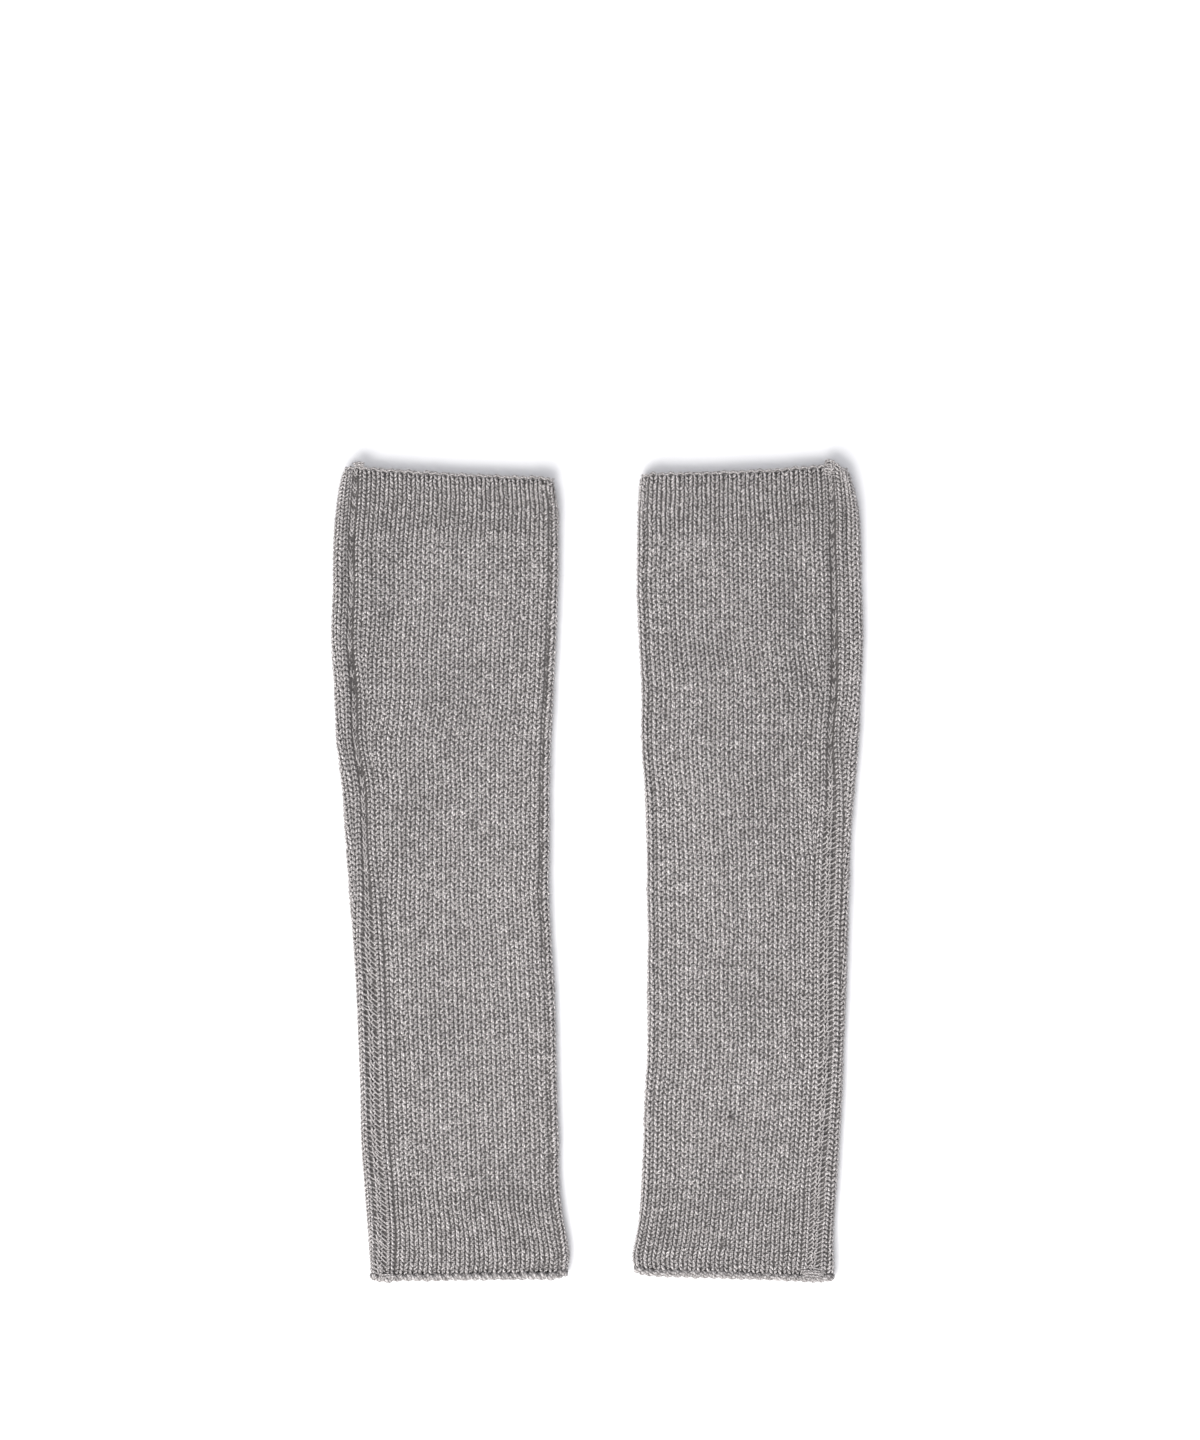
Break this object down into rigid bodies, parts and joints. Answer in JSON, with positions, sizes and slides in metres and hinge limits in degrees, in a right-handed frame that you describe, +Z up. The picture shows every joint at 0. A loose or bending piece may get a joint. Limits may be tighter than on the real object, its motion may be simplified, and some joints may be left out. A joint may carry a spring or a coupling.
{
  "type": "pair of leg warmers",
  "caption": "Pair of footless knitted tubes with ribbed calf and ankle bands and a linked side seam, laid flat side by side.",
  "frame": {"origin": "on the ground under the middle of the pair's bounding box", "axes": "+Y from the ankle ends to the calf ends, +X across the pair from the left leg warmer to the right one as laid, +Z up off the ground"},
  "size_m": [0.2617, 0.4042, 0.0095],
  "materials": {
    "heather_wool": "soft heather grey wool knit",
    "seam_wool": "the same heather grey wool, linked, in shade"
  },
  "bodies": {
    "root": {"left_leg_panel": "heather_wool", "left_calf_rib": "heather_wool", "left_ankle_rib": "heather_wool", "left_side_seam": "seam_wool", "right_leg_panel": "heather_wool", "right_calf_rib": "heather_wool", "right_ankle_rib": "heather_wool", "right_side_seam": "seam_wool"}
  },
  "joints": []
}
